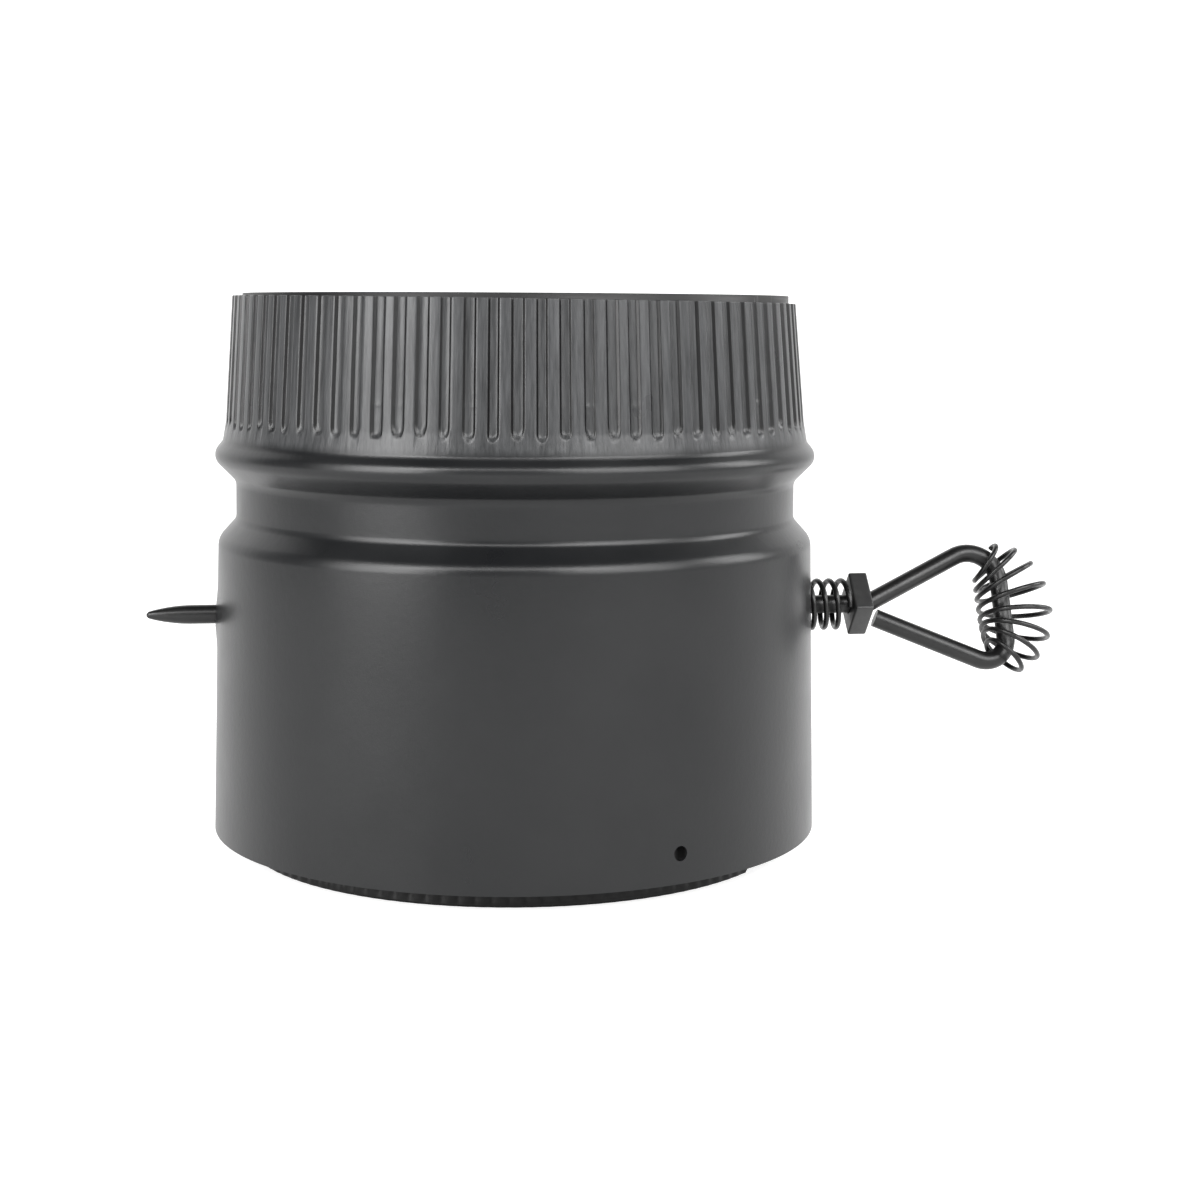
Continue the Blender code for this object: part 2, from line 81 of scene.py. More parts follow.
COLLAR_X = WALL_X + 0.0139
COLLAR_LENGTH = 0.0055
COLLAR_WIDTH = 0.0131
BEND_X = COLLAR_X + COLLAR_LENGTH + 0.0003
TIP_X = -WALL_X - 0.0195
KEY_X = -0.0075
LOOP_TOP = (0.0411, 0.0205)
LOOP_LOW = (0.041, -0.0215)
LOOP_END = (0.0018, -0.0044)
TOP_BEND_R = 0.0089
LOW_BEND_R = 0.0067
GRIP_WIRE_R = 0.00075
GRIP_TURNS = 7.63
SPRING_R = 0.0068
SPRING_WIRE_R = 0.0008

# What the visual model adds: the grooves' ends and marks, the lean of the rim, a lip at the rod's point,
# eased edges, a screw hole's worn edge, and the liner's folds and seam.
GROOVE_START = 0.1126
GROOVE_HALF = 0.24
RUNOUT_SHARE = 0.1
MARK_Z = 0.1212
MARK_HEIGHT = 0.00012
MARK_REACH = 0.0005
LEAN_OUT = (0.0002, 0.0004)
LEAN_UP = (0.00035, 0.00075)
LIP_HEIGHT = 0.0007
LIP_REACH = 0.006
SCREW_HOLE_R = 0.00195
CUT_REACH = 0.004
EASE = 0.00012
LINER_EASE = 0.0001
LINER_FOLD = 0.0007
LINER_SEAM = math.radians(-41.5)
SEAM_STEP = 0.0004
SEAM_RISE = 0.0012

# Brings heights up to 0.2 m into a colour ramp's range
HEIGHT_SCALE = 5

# Degrees from +X towards -Y at which the camera looks in
CAMERA_AZIMUTH = 98.9

chance = random.Random(7)


# Modelling


def rounded(points, radii, steps):
    """The flat path through these corner points, each inner corner rounded to its own radius."""
    points = [Vector(point) for point in points]
    path = [points[0]]
    for before, corner, after, radius in zip(points, points[1:], points[2:], radii):
        back, ahead = (before - corner).normalized(), (after - corner).normalized()
        half = back.angle(ahead) / 2
        reach = radius / math.tan(half)
        centre = corner + (back + ahead).normalized() * radius / math.sin(half)
        spoke = corner + back * reach - centre
        side = back * -radius
        for step in range(steps + 1):
            turn = (math.pi - 2 * half) * step / steps
            path.append(centre + spoke * math.cos(turn) + side * math.sin(turn))
    path.append(points[-1])
    return path


def finer(path, most):
    """The same path with no step longer than this."""
    out = [path[0]]
    for here, there in zip(path, path[1:]):
        count = max(1, math.ceil((there - here).length / most))
        out += [here.lerp(there, (i + 1) / count) for i in range(count)]
    return out


def offset(profile, wall):
    """The inner side of a sheet with this outer profile."""
    moved = [profile[0] - Vector((wall, 0))]
    for before, point, after in zip(profile, profile[1:], profile[2:]):
        along = (after - before).normalized()
        moved.append(point + Vector((-along.y, along.x)) * wall)
    moved.append(profile[-1] - Vector((wall, 0)))
    return moved


def smooth(t):
    t = min(max(t, 0), 1)
    return t * t * (3 - 2 * t)


def piece(name, bm, finish, body, node, angle=40):
    """Links a finished mesh that stands for a node and moves with its body."""
    mesh = bpy.data.meshes.new(name)
    bm.to_mesh(mesh)
    bm.free()
    made = bpy.data.objects.new(name, mesh)
    bpy.context.scene.collection.objects.link(made)
    mesh.materials.append(finish)
    mesh.shade_smooth()
    mesh.set_sharp_from_angle(angle=math.radians(angle))
    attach(made, body)
    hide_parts(node)
    return made


def ring_wall(rings):
    """A closed sheet from rings of equal length, outer side up and inner side down, as a bmesh.

    A point's fourth number, where it has one, is kept as how far it is sunk.
    """
    bm = bmesh.new()
    sunk = bm.verts.layers.float.new("sunk")
    made = [[bm.verts.new(point[:3]) for point in ring] for ring in rings]
    if len(rings[0][0]) == 4:
        for verts, points in zip(made, rings):
            for vert, point in zip(verts, points):
                vert[sunk] = point[3]
    count = len(rings[0])
    for low, high in zip(made, made[1:] + made[:1]):
        for i in range(count):
            j = (i + 1) % count
            bm.faces.new((low[i], low[j], high[j], high[i]))
    bmesh.ops.recalc_face_normals(bm, faces=bm.faces)
    return bm


def sweep(path, radii, sides):
    """A round bar along a path, with slightly eased ends, as a bmesh."""
    path = [Vector(point) for point in path]
    heading = (path[1] - path[0]).normalized()
    side = heading.orthogonal().normalized()
    bm = bmesh.new()
    rings = []
    last = len(path) - 1
    for i, point in enumerate(path):
        ahead = (path[min(i + 1, last)] - path[max(i - 1, 0)]).normalized()
        side = (side - ahead * side.dot(ahead)).normalized()
        up = ahead.cross(side)
        turns = [2 * math.pi * k / sides for k in range(sides)]
        spokes = [side * math.cos(a) + up * math.sin(a) for a in turns]
        rings.append([bm.verts.new(point + spoke * radii[i]) for spoke in spokes])
    for low, high in zip(rings, rings[1:]):
        for k in range(sides):
            m = (k + 1) % sides
            bm.faces.new((low[k], low[m], high[m], high[k]))
    for end in (rings[0], rings[-1]):
        cap = bm.faces.new(end)
        bmesh.ops.inset_region(bm, faces=[cap], thickness=0.12 * radii[-1], use_even_offset=True)
    bmesh.ops.recalc_face_normals(bm, faces=bm.faces)
    return bm


def cylinder(radius, start, end):
    """A round cutter along X, as a bmesh."""
    bm = bmesh.new()
    lie = Matrix.Translation(((start + end) / 2, 0, 0)) @ Matrix.Rotation(math.pi / 2, 4, "Y")
    bmesh.ops.create_cone(
        bm, cap_ends=True, segments=48, radius1=radius, radius2=radius, depth=end - start, matrix=lie
    )
    return bm


def rod_holes(wall_r):
    """Placed cutters for the rod's two holes through a wall of this radius."""
    up = Matrix.Translation((0, 0, ROD_Z))
    return [
        (cylinder(ROD_LEFT_HOLE_R, -wall_r - CUT_REACH, -wall_r + CUT_REACH), up),
        (cylinder(ROD_RIGHT_HOLE_R, wall_r - CUT_REACH, wall_r + CUT_REACH), up),
    ]


def cut(bm, tools, operation="DIFFERENCE"):
    """The bmesh after exact booleans with these placed tools."""
    mesh = bpy.data.meshes.new("blank")
    bm.to_mesh(mesh)
    bm.free()
    blank = bpy.data.objects.new("blank", mesh)
    bpy.context.scene.collection.objects.link(blank)
    made = []
    for tool, place in tools:
        data = bpy.data.meshes.new("tool")
        tool.transform(place)
        tool.to_mesh(data)
        tool.free()
        thing = bpy.data.objects.new("tool", data)
        bpy.context.scene.collection.objects.link(thing)
        made.append(thing)
        modifier = blank.modifiers.new("cut", "BOOLEAN")
        modifier.operation = operation
        modifier.object = thing
    graph = bpy.context.evaluated_depsgraph_get()
    result = bmesh.new()
    done = bpy.data.meshes.new_from_object(blank.evaluated_get(graph))
    result.from_mesh(done)
    for thing in made + [blank]:
        bpy.data.objects.remove(thing)
    bpy.data.meshes.remove(done)
    return result


# Materials


class Nodes:
    """A material's node tree, written one node at a time."""

    def __init__(self, name):
        self.material = bpy.data.materials.new(name)
        self.material.use_nodes = True
        self.tree = self.material.node_tree
        self.shader = self.tree.nodes["Principled BSDF"]
        self.place = self.tree.nodes.new("ShaderNodeTexCoord").outputs["Object"]

    def link(self, source, target):
        self.tree.links.new(source, target)

    def scaled(self, scale):
        node = self.tree.nodes.new("ShaderNodeMapping")
        node.inputs["Scale"].default_value = scale
        self.link(self.place, node.inputs["Vector"])
        return node.outputs["Vector"]

    def noise(self, scale, detail=3, roughness=0.55, place=None):
        node = self.tree.nodes.new("ShaderNodeTexNoise")
        node.inputs["Scale"].default_value = scale
        node.inputs["Detail"].default_value = detail
        node.inputs["Roughness"].default_value = roughness
        self.link(place or self.place, node.inputs["Vector"])
        return node.outputs["Fac"]

    def ramp(self, source, stops):
        node = self.tree.nodes.new("ShaderNodeValToRGB")
        while len(node.color_ramp.elements) < len(stops):
            node.color_ramp.elements.new(0.5)
        for element, (position, value) in zip(node.color_ramp.elements, stops):
            element.position = position
            colour = value if isinstance(value, tuple) else (value, value, value)
            element.color = (*colour, 1)
        self.link(source, node.inputs["Fac"])
        return node.outputs["Color"]

    def math(self, operation, first, second):
        node = self.tree.nodes.new("ShaderNodeMath")
        node.operation = operation
        for socket, value in zip(node.inputs, (first, second)):
            if isinstance(value, (int, float)):
                socket.default_value = value
            else:
                self.link(value, socket)
        return node.outputs[0]

    def mix(self, share, first, second):
        node = self.tree.nodes.new("ShaderNodeMix")
        node.data_type = "RGBA"
        self.link(share, node.inputs["Factor"])
        for socket, value in ((node.inputs[6], first), (node.inputs[7], second)):
            if isinstance(value, tuple):
                socket.default_value = (*value, 1)
            else:
                self.link(value, socket)
        return node.outputs[2]

    def height(self):
        """The height above the section's foot, scaled for a ramp."""
        node = self.tree.nodes.new("ShaderNodeSeparateXYZ")
        self.link(self.place, node.inputs[0])
        return self.math("MULTIPLY", node.outputs["Z"], HEIGHT_SCALE)

    def stored(self, name):
        node = self.tree.nodes.new("ShaderNodeAttribute")
        node.attribute_name = name
        return node.outputs["Fac"]

    def bump(self, source, strength, distance, under=None):
        node = self.tree.nodes.new("ShaderNodeBump")
        node.inputs["Strength"].default_value = strength
        node.inputs["Distance"].default_value = distance
        self.link(source, node.inputs["Height"])
        if under:
            self.link(under, node.inputs["Normal"])
        self.link(node.outputs["Normal"], self.shader.inputs["Normal"])
        return node.outputs["Normal"]


def casing_paint():
    """Satin stove paint: a fine grain, soft clouds in its sheen, scuffed crimps, and painted shade on the
    crimps' side walls and round the grooves' ends.
    """
    n = Nodes("satin_black_paint_finish")
    clouds = n.noise(28, 4)
    grain = n.noise(2600, 2)
    peel = n.noise(620, 2)
    streaks = n.noise(1, 5, 0.65, n.scaled((1300, 1300, 30)))
    sunk = n.stored("sunk")
    height = n.height()
    tone = n.ramp(n.noise(1, 2, 0.5, n.scaled((170, 170, 2))), ((0.35, 0.0), (0.65, 1.0)))
    dull = n.ramp(streaks, ((0.3, (0.010, 0.0104, 0.011)), (0.72, (0.036, 0.037, 0.038))))
    bright = n.ramp(streaks, ((0.3, (0.020, 0.0206, 0.0214)), (0.72, (0.056, 0.057, 0.059))))
    scuffed = n.mix(tone, dull, bright)
    low = n.ramp(streaks, ((0.3, (0.012, 0.0124, 0.013)), (0.72, (0.044, 0.045, 0.046))))
    # Painted shade: where the stored depth lies between its limits, on the crimps' side walls and round the
    # grooves' ends, the paint is near black.
    dark = n.ramp(sunk, ((0.03, 0.0), (0.1, 1.0), (0.9, 1.0), (0.97, 0.0)))
    worn = n.mix(n.ramp(sunk, ((0.3, 0.0), (0.7, 1.0))), scuffed, low)
    crimps = n.mix(dark, worn, (0.0025, 0.0025, 0.0027))
    body = n.ramp(clouds, ((0.3, (0.0044, 0.0047, 0.0052)), (0.75, (0.0074, 0.0077, 0.0082))))
    band = n.ramp(height, ((0.571, 0.0), (0.58, 1.0)))
    upper = n.ramp(height, ((0.592, 0.0), (0.598, 1.0)))
    n.link(n.mix(upper, n.mix(band, body, scuffed), crimps), n.shader.inputs["Base Color"])
    n.link(n.ramp(clouds, ((0.25, 0.26), (0.8, 0.37))), n.shader.inputs["Roughness"])
    n.shader.inputs["IOR"].default_value = 1.39
    rubs = n.math("MULTIPLY", streaks, band)
    n.bump(rubs, 0.5, 0.00012, n.bump(peel, 0.22, 0.00012, n.bump(grain, 0.3, 0.00005)))
    return n.material


def liner_finish():
    """Coated sheet with fine drawn lines round it, nearly black at its lower edge."""
    n = Nodes("dark_liner_steel_finish")
    clouds = n.noise(40, 4)
    drawn = n.noise(1, 3, 0.6, n.scaled((60, 60, 1600)))
    skin = n.ramp(clouds, ((0.3, (0.007, 0.007, 0.0074)), (0.8, (0.017, 0.0168, 0.0165))))
    low_end = n.ramp(n.height(), ((0.05, 0.0), (0.15, 1.0)))
    n.link(n.mix(low_end, (0.0015, 0.0015, 0.0016), skin), n.shader.inputs["Base Color"])
    n.link(n.ramp(drawn, ((0.3, 0.34), (0.75, 0.5))), n.shader.inputs["Roughness"])
    n.shader.inputs["IOR"].default_value = 1.3
    n.bump(drawn, 0.15, 0.00005)
    return n.material


def iron_finish():
    """A sand casting: coarse pitted skin, dark, with a little rust brown in patches."""
    n = Nodes("cast_iron_finish")
    sand = n.noise(1100, 5, 0.65)
    lumps = n.noise(240, 3)
    clouds = n.noise(45, 4)
    shades = ((0.3, (0.020, 0.0195, 0.019)), (0.62, (0.032, 0.031, 0.030)), (0.85, (0.050, 0.042, 0.036)))
    n.link(n.ramp(clouds, shades), n.shader.inputs["Base Color"])
    n.link(n.ramp(sand, ((0.3, 0.72), (0.75, 0.5))), n.shader.inputs["Roughness"])
    n.shader.inputs["Metallic"].default_value = 0.35
    n.bump(lumps, 0.35, 0.0004, n.bump(sand, 0.55, 0.00025))
    return n.material


def black_steel_finish(name, shade, rough, metal):
    """Blackened bar or wire, with fine rub marks."""
    n = Nodes(name)
    rub = n.noise(900, 4, 0.6)
    clouds = n.noise(140, 3)
    low, high = shade
    shades = ((0.3, (low, low, low * 1.03)), (0.8, (high, high, high * 0.98)))
    n.link(n.ramp(clouds, shades), n.shader.inputs["Base Color"])
    n.link(n.ramp(rub, ((0.3, rough - 0.06), (0.75, rough + 0.08))), n.shader.inputs["Roughness"])
    n.shader.inputs["Metallic"].default_value = metal
    n.bump(rub, 0.18, 0.00008)
    return n.material


def clip_finish():
    """Bare rolled strip."""
    n = Nodes("clip_steel_finish")
    rolled = n.noise(1, 3, 0.6, n.scaled((300, 300, 2400)))
    shades = ((0.3, (0.30, 0.30, 0.29)), (0.75, (0.42, 0.42, 0.41)))
    n.link(n.ramp(rolled, shades), n.shader.inputs["Base Color"])
    n.link(n.ramp(rolled, ((0.3, 0.32), (0.75, 0.48))), n.shader.inputs["Roughness"])
    n.shader.inputs["Metallic"].default_value = 1.0
    n.bump(rolled, 0.1, 0.00004)
    return n.material


# The casing


def crimp_profile():
    """Each crimp's columns as a share of its pitch, from the middle of its ridge, with how sunk they are."""
    return (
        (0.0, 0.0), (0.15, 0.0), (0.225, 0.03), (0.26, 0.22), (0.31, 0.84), (0.35, 0.99),
        (0.5, 1.0), (0.65, 0.99), (0.69, 0.84), (0.74, 0.22), (0.775, 0.03), (0.85, 0.0),
    )


def make_casing(finish):
    """The sheet casing, with crimps that differ a little from each other."""
    corners = [
        (CASING_R + 0.00093, 0),
        (CASING_R - 0.00045, BODY_HEIGHT),
        (WAIST_R, 0.0869),
        (WAIST_R, 0.0976),
        (CASING_R + 0.0015, 0.1045),
        (RUNOUT_R, RUNOUT_Z),
    ]
    path = rounded(corners, (0.0052, 0.003, 0.0035, 0.0035), 10)
    body = [path[0]] + [path[0].lerp(path[1], z / path[1].y) for z in (0.001, 0.006, 0.02, 0.035, 0.05)]
    body += [path[0].lerp(path[1], z / path[1].y) for z in [0.0515 + 0.001 * i for i in range(18)]]
    outer = body + finer(path[1:], 0.0012)
    columns = []
    for i in range(CRIMPS):
        shift = chance.uniform(-0.025, 0.025)
        wide = chance.uniform(0.9, 1.1)
        deep = chance.uniform(0.9, 1.05)
        end = chance.uniform(-0.0006, 0.0006)
        mark = max(chance.uniform(-0.9, 1.0), 0)
        blunt = chance.uniform(0.0006, 0.0026)
        slant = chance.uniform(-0.0028, 0.0028)
        soft = chance.uniform(0.0009, 0.0022)
        foot = (end, mark, blunt, slant, soft, deep)
        for share, sunk in crimp_profile():
            moved = share
            if 0.15 < share < 0.85:
                moved = 0.5 + (share - 0.5) * wide + shift
            columns.append((2 * math.pi * (i + moved) / CRIMPS, sunk * deep, share - 0.5, foot))

    def at(radius, height, column):
        """A point of the sheet, with how sunk it is painted."""
        turn, sunk, off, (end, mark, blunt, slant, soft, deep) = column
        depth = 0
        if height > RUNOUT_Z:
            start = GROOVE_START + end + blunt * min(abs(off) / GROOVE_HALF, 1) ** 1.5 + slant * off
            full = smooth((height - start) / soft)
            depth = sunk / deep * smooth((height - start + 0.0002) / 0.0005)
            fade = RUNOUT_SHARE * smooth((height - RUNOUT_Z) / (FOOT_Z - RUNOUT_Z))
            radius -= CRIMP_DEPTH * sunk * (fade + (1 - RUNOUT_SHARE) * full)
            if abs(off) < 0.2:
                radius += MARK_HEIGHT * mark * math.exp(-(((height - MARK_Z) / MARK_REACH) ** 2))
        if height < 0.0745:
            away = math.hypot((math.pi - turn) * CASING_R, height - ROD_Z + CASING_UP + 0.001)
            radius += LIP_HEIGHT * math.exp(-((away / LIP_REACH) ** 2))
        rise = max(height - FOOT_Z, 0) / (RIM_Z - FOOT_Z)
        side = math.cos(turn)
        radius += (LEAN_OUT[0] - LEAN_OUT[1] * side) * rise
        lift = (LEAN_UP[0] - LEAN_UP[1] * side) * rise
        return radius * side, radius * math.sin(turn), height + CASING_UP + lift, depth

    crimp_rows = [0.1092, 0.1100, 0.1110, 0.1117, 0.1122, 0.1126, 0.1130, 0.1134, 0.1138]
    crimp_rows += [FOOT_Z, 0.1149, 0.1154, 0.1159, 0.1164, 0.1168]
    crimp_rows += [0.1196, 0.1202, 0.1207, 0.1212, 0.1217, 0.1222, 0.1228, 0.13, 0.14]
    crimp_rows += [RIM_Z - 0.0008, RIM_Z - 0.00022, RIM_Z - EASE]

    def crimp_radius(height):
        if height < FOOT_Z:
            t = (height - RUNOUT_Z) / (FOOT_Z - RUNOUT_Z)
            return RUNOUT_R * (1 - t) + FOOT_R * t
        return FOOT_R + (RIM_R - FOOT_R) * (height - FOOT_Z) / (RIM_Z - FOOT_Z)

    rings = [[at(p.x, p.y, c) for c in columns] for p in outer]
    rings += [[at(crimp_radius(z), z, c) for c in columns] for z in crimp_rows]
    rings.append([at(RIM_R - EASE, RIM_Z, c) for c in columns])
    inner = [[at(p.x, p.y, c) for c in columns] for p in offset(outer, WALL)]
    inner += [[at(crimp_radius(z) - WALL, z, c) for c in columns] for z in crimp_rows]
    inner.append([at(RIM_R - WALL + EASE, RIM_Z, c) for c in columns])
    bm = ring_wall(rings + inner[::-1])
    tools = rod_holes(CASING_R)
    up = Matrix.Translation((0, 0, SCREW_Z))
    for i in range(3):
        turn = Matrix.Rotation(math.radians(SCREW_TURN + 120 * i), 4, "Z")
        tools.append((cylinder(SCREW_HOLE_R, CASING_R - CUT_REACH, CASING_R + CUT_REACH), up @ turn))
    return piece("casing", cut(bm, tools), finish, "pipe", "outer_casing", 50)


def make_liner(finish):
    """The flue, folded at its lower end, with a seam that lifts the edge to its right."""
    middle = CASING_UP + 0.0928
    crimp_r = LINER_BORE_R - LINER_EASE
    profile = [(LINER_R, LINER_CRIMP_HEIGHT + 0.004), (LINER_R, middle - 0.005), (LINER_R + 0.0011, middle)]
    profile += [(LINER_R, middle + 0.005), (LINER_R, LINER_HEIGHT - LINER_EASE)]
    upper = finer(rounded(profile, (0.004, 0.003, 0.004), 6), 0.006)
    steps = 9
    count = LINER_CRIMPS * steps

    def at(radius, height, i, inside=0):
        turn = 2 * math.pi * i / count
        fade = 1 - smooth((height - LINER_CRIMP_HEIGHT + 0.004) / 0.006)
        wave = (1 - math.cos(2 * math.pi * (i % steps) / steps)) / 2
        radius -= LINER_FOLD * wave * fade * (0.15 + 0.85 * smooth(height / 0.0034))
        away = (turn - LINER_SEAM + math.pi) % (2 * math.pi) - math.pi
        if 0 < away < 0.12 and not inside:
            radius += SEAM_STEP
        if away > 0 and height < 0.005:
            height += SEAM_RISE * (1 - smooth(away / 2)) * (1 - height / 0.005)
        return Vector((radius * math.cos(turn), radius * math.sin(turn), height))

    heights = (0, 0.0001, 0.0006, 0.0014, 0.0024, 0.0036, 0.012, 0.03, 0.0464)
    lower = [(crimp_r - 0.0004 * (1 - z / LINER_CRIMP_HEIGHT), z) for z in heights]
    fading = (0.0476, 0.0491, 0.0504, 0.0518)
    lower += [(crimp_r + (LINER_R - crimp_r) * smooth((z - 0.0464) / 0.006), z) for z in fading]
    rows = [Vector(p) for p in lower] + upper
    eases = [LINER_EASE] + [0] * (len(rows) - 1)
    rings = [[at(p.x - ease, p.y, i) for i in range(count)] for p, ease in zip(rows, eases)]
    rings.append([at(LINER_R - LINER_EASE, LINER_HEIGHT, i) for i in range(count)])
    rings.append([at(LINER_BORE_R + LINER_EASE, LINER_HEIGHT, i, 1) for i in range(count)])
    rings += [[at(p.x - LINER_WALL, p.y, i, 1) for i in range(count)] for p in rows[::-1]]
    bm = ring_wall(rings)
    return piece("liner", cut(bm, rod_holes(LINER_R)), finish, "pipe", "inner_liner", 50)


# The rod, its loop and its springs

TURNED = Matrix.Translation((0, 0, ROD_Z)) @ Matrix.Rotation(math.pi / 2 - REST_TILT, 4, "X")


def make_rod(finish):
    """The pointed bar with its key, bent into the loop."""
    tip, radii = [], []
    for i in range(25):
        t = i / 24
        tip.append(Vector((TIP_X + 0.0125 * t, 0)))
        radii.append(ROD_R * (0.27 + 0.73 * math.sin(math.pi / 2 * t) ** 0.8))
    radii[0] *= 0.55
    corners = [(x + BEND_X, y) for x, y in ((0, 0), LOOP_TOP, LOOP_LOW, LOOP_END)]
    loop = finer(rounded([(KEY_X, 0), *corners], (0.004, TOP_BEND_R, LOW_BEND_R), 18), 0.004)
    path = [Vector((p.x, p.y, 0)) for p in tip + loop]
    bm = sweep(path, radii + [ROD_R] * len(loop), 36)
    ears = bmesh.new()
    place = Matrix.LocRotScale((KEY_X + 0.0013, 0, 0), None, (0.0026, 0.0018, 0.0072))
    bmesh.ops.create_cube(ears, size=1, matrix=place)
    bmesh.ops.bevel(ears, geom=ears.edges[:], offset=0.0002, segments=2, affect="EDGES")
    bm = cut(bm, [(ears, Matrix.Identity(4))], "UNION")
    bm.transform(TURNED)
    return piece("rod", bm, finish, "spindle", "damper_rod")


def make_collar(finish):
    """The square block that the spring pushes against, set on its corner."""
    bm = bmesh.new()
    size = (COLLAR_LENGTH, COLLAR_WIDTH, COLLAR_WIDTH)
    place = Matrix.LocRotScale((COLLAR_X + COLLAR_LENGTH / 2, 0, 0), None, size)
    bmesh.ops.create_cube(bm, size=1, matrix=place)
    bmesh.ops.bevel(bm, geom=bm.edges[:], offset=0.0007, segments=4, affect="EDGES", profile=0.6)
    bm.transform(Matrix.Rotation(math.pi / 4, 4, "X"))
    bm = cut(bm, [(cylinder(ROD_R + 0.0003, COLLAR_X - 0.002, COLLAR_X + 0.008), Matrix.Identity(4))])
    bm.transform(Matrix.Translation((0, 0, ROD_Z)))
    return piece("collar", bm, finish, "spindle", "spring_collar")


def make_spring(finish):
    """The spring between wall and collar, squashed as the rod goes in."""
    start, end = WALL_X + 0.0011, COLLAR_X - 0.0011
    turns, count = 3.25, 160
    path = []
    for i in range(count + 1):
        turn = 2 * math.pi * turns * i / count
        along = start + (end - start) * i / count
        path.append((along, -math.sin(turn) * SPRING_R, ROD_Z + math.cos(turn) * SPRING_R))
    wire = sweep(path, [SPRING_WIRE_R] * len(path), 14)
    made = piece("spring", wire, finish, "pipe", "tension_spring")
    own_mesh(made)
    return made


def corner_point(corner, before, after, radius, turn):
    """The point this far round a rounded corner, and the path's heading there."""
    corner = Vector(corner)
    back, ahead = (Vector(before) - corner).normalized(), (Vector(after) - corner).normalized()
    outward = Vector((math.cos(turn), math.sin(turn)))
    centre = corner + (back + ahead).normalized() * radius / math.sin(back.angle(ahead) / 2)
    return centre + outward * radius, Vector((outward.y, -outward.x))


def make_grip(finish):
    """The spiral grip, on a path that bows out from the loop's outer side."""
    top, leave = corner_point(LOOP_TOP, (0, 0), LOOP_LOW, TOP_BEND_R, math.radians(53))
    low, arrive = corner_point(LOOP_LOW, LOOP_TOP, LOOP_END, LOW_BEND_R, math.radians(-58))
    pull, count = 0.0346, 420
    end_r = ROD_R + 0.0003 + GRIP_WIRE_R
    barrel_r = 0.01044
    path = []
    for i in range(count + 1):
        t = i / count
        middle = (
            top * (2 * t**3 - 3 * t**2 + 1) + leave * pull * (t**3 - 2 * t**2 + t)
            + low * (3 * t**2 - 2 * t**3) + arrive * pull * (t**3 - t**2)
        )
        heading = (
            top * (6 * t**2 - 6 * t) + leave * pull * (3 * t**2 - 4 * t + 1)
            + low * (6 * t - 6 * t**2) + arrive * pull * (3 * t**2 - 2 * t)
        ).normalized()
        outward = Vector((-heading.y, heading.x, 0))
        radius = end_r + (barrel_r - end_r) * max(math.sin(math.pi * t), 0) ** 0.45
        turn = GRIP_TURNS * (2 * math.pi * t + 0.2 * math.sin(2 * math.pi * t))
        swing = (outward * math.cos(turn) + Vector((0, 0, 1)) * math.sin(turn)) * radius
        path.append(Vector((middle.x + BEND_X, middle.y, 0)) + swing)
    bm = sweep(path, [GRIP_WIRE_R] * len(path), 12)
    bm.transform(TURNED)
    return piece("grip", bm, finish, "spindle", "handle_coil")


def make_plate(finish):
    """The casting: the solid's form with softened edges and a slightly uneven skin."""
    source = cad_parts["damper_plate"].data.copy()
    blank = bpy.data.objects.new("blank", source)
    bpy.context.scene.collection.objects.link(blank)
    remesh = blank.modifiers.new("remesh", "REMESH")
    remesh.mode = "VOXEL"
    remesh.voxel_size = 0.00062
    soften = blank.modifiers.new("soften", "SMOOTH")
    soften.factor, soften.iterations = 0.5, 3
    graph = bpy.context.evaluated_depsgraph_get()
    done = bpy.data.meshes.new_from_object(blank.evaluated_get(graph))
    bm = bmesh.new()
    bm.from_mesh(done)
    bpy.data.objects.remove(blank)
    bm.normal_update()
    for vert in bm.verts:
        lift = noise.noise(vert.co * 260) * 0.00006 + noise.noise(vert.co * 900) * 0.00003
        vert.co += vert.normal * lift
    return piece("plate", bm, finish, "plate", "damper_plate", 70)


def make_clip(number, finish):
    """A clip with eased edges."""
    name = f"spacer_clip_{number}"
    bm = bmesh.new()
    bm.from_mesh(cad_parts[name].data)
    bmesh.ops.remove_doubles(bm, verts=bm.verts, dist=0.00001)
    bmesh.ops.dissolve_limit(bm, angle_limit=0.02, verts=bm.verts[:], edges=bm.edges[:])
    bmesh.ops.bevel(bm, geom=bm.edges[:], offset=0.00018, segments=2, affect="EDGES")
    return piece(f"clip_{number}", bm, finish, "pipe", name)


# The stage


def make_stage():
    """A pale floor that curves up behind the section."""
    bm = bmesh.new()
    profile = [(-1.6, 0), (1.2, 0), (1.45, 0.05), (1.6, 0.18), (1.66, 0.4), (1.68, 2.4)]
    rows = [[bm.verts.new((x, y, z)) for x in (-2.6, 2.6)] for y, z in profile]
    for low, high in zip(rows, rows[1:]):
        bm.faces.new((low[0], low[1], high[1], high[0]))
    mesh = bpy.data.meshes.new("sweep")
    bm.to_mesh(mesh)
    bm.free()
    floor = bpy.data.objects.new("sweep", mesh)
    bpy.context.scene.collection.objects.link(floor)
    floor.location.z = -0.0002
    mesh.shade_smooth()
    n = Nodes("pale_floor")
    n.shader.inputs["Base Color"].default_value = (0.5, 0.5, 0.5, 1)
    n.shader.inputs["Roughness"].default_value = 1.0
    n.shader.inputs["Specular IOR Level"].default_value = 0.0
    n.shader.inputs["Emission Color"].default_value = (1, 1, 1, 1)
    n.shader.inputs["Emission Strength"].default_value = 0.8
    mesh.materials.append(n.material)


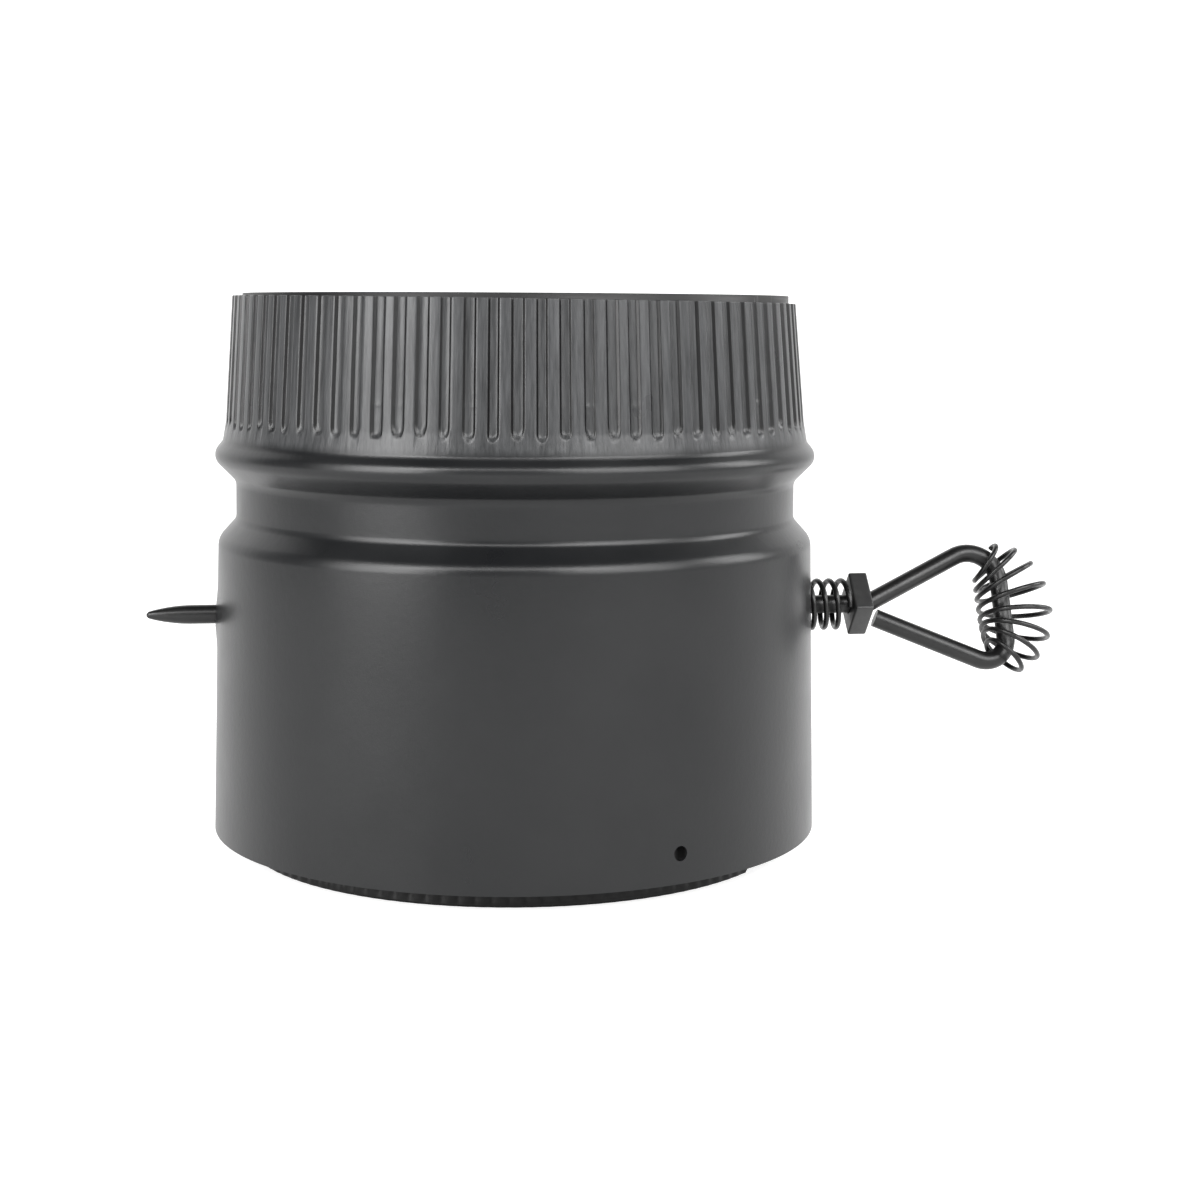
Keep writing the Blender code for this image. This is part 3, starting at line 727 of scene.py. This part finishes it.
def area_light(name, azimuth, elevation, distance, width, height, power):
    """A soft box that looks at the section. Azimuth is counted from the camera, positive to the right."""
    lamp = bpy.data.lights.new(name, "AREA")
    lamp.shape = "RECTANGLE"
    lamp.size, lamp.size_y, lamp.energy = width, height, power
    made = bpy.data.objects.new(name, lamp)
    bpy.context.scene.collection.objects.link(made)
    a, e = math.radians(azimuth - CAMERA_AZIMUTH), math.radians(elevation)
    away = Vector((math.cos(a) * math.cos(e), math.sin(a) * math.cos(e), math.sin(e)))
    target = Vector((0, 0, 0.09))
    made.location = target + away * distance
    made.rotation_euler = (-away).to_track_quat("-Z", "Y").to_euler()


def make_world():
    """Soft light that is strongest at the horizon and weaker from the far left and right."""
    world = bpy.data.worlds.new("studio")
    bpy.context.scene.world = world
    world.use_nodes = True
    nodes, links = world.node_tree.nodes, world.node_tree.links
    background = nodes["Background"]
    place = nodes.new("ShaderNodeTexCoord")
    split = nodes.new("ShaderNodeSeparateXYZ")
    ramp = nodes.new("ShaderNodeValToRGB")
    ramp.color_ramp.elements[0].position = 0.05
    ramp.color_ramp.elements[0].color = (1, 1, 1, 1)
    ramp.color_ramp.elements[1].position = 0.55
    ramp.color_ramp.elements[1].color = (0.07, 0.07, 0.07, 1)
    links.new(place.outputs["Generated"], split.inputs[0])
    links.new(split.outputs["Z"], ramp.inputs["Fac"])
    links.new(ramp.outputs["Color"], background.inputs["Color"])
    side = nodes.new("ShaderNodeMapRange")
    side.inputs["From Min"].default_value = -1.0
    links.new(split.outputs["X"], side.inputs["Value"])
    level = nodes.new("ShaderNodeValToRGB")
    for _ in range(2):
        level.color_ramp.elements.new(0.5)
    stops = ((0.05, 0.33), (0.45, 1.0), (0.7, 1.0), (0.95, 0.8))
    for element, (position, value) in zip(level.color_ramp.elements, stops):
        element.position = position
        element.color = (value, value, value, 1)
    links.new(side.outputs["Result"], level.inputs["Fac"])
    links.new(level.outputs["Color"], background.inputs["Strength"])


def make_camera():
    data = bpy.data.cameras.new("camera")
    data.sensor_width = 36
    data.lens = 63.11
    data.shift_y = -0.125
    data.clip_start, data.clip_end = 0.05, 20
    camera = bpy.data.objects.new("camera", data)
    bpy.context.scene.collection.objects.link(camera)
    camera.location = (-0.06885, -0.59437, 0.14999)
    yaw, pitch, roll = math.radians(-8.887), math.radians(90 - 3.734), math.radians(0.32)
    heading = Matrix.Rotation(yaw, 3, "Z") @ Matrix.Rotation(pitch, 3, "X")
    camera.rotation_euler = (heading @ Matrix.Rotation(roll, 3, "Z")).to_euler()
    bpy.context.scene.camera = camera


make_camera()
make_world()
make_stage()
area_light("left_box", -47, 20, 1.3, 0.75, 0.9, 22.0)
area_light("right_box", 44, 28, 1.3, 1.0, 0.8, 16.0)
area_light("side_box", 97, 24, 1.3, 0.5, 0.6, 8.0)
area_light("front_bank", 0, 38, 1.4, 2.2, 0.3, 13.0)
bpy.context.scene.view_settings.view_transform = "Standard"

wire_finish = black_steel_finish("spring_wire_finish", (0.006, 0.012), 0.3, 0.3)
bar_finish = black_steel_finish("blackened_steel_finish", (0.007, 0.014), 0.34, 0.3)
collar_finish = black_steel_finish("collar_finish", (0.022, 0.045), 0.42, 0.3)
bare_strip = clip_finish()

make_casing(casing_paint())
make_liner(liner_finish())
make_plate(iron_finish())
make_rod(bar_finish)
make_collar(collar_finish)
make_spring(wire_finish)
make_grip(wire_finish)
for number in (1, 2, 3):
    make_clip(number, bare_strip)
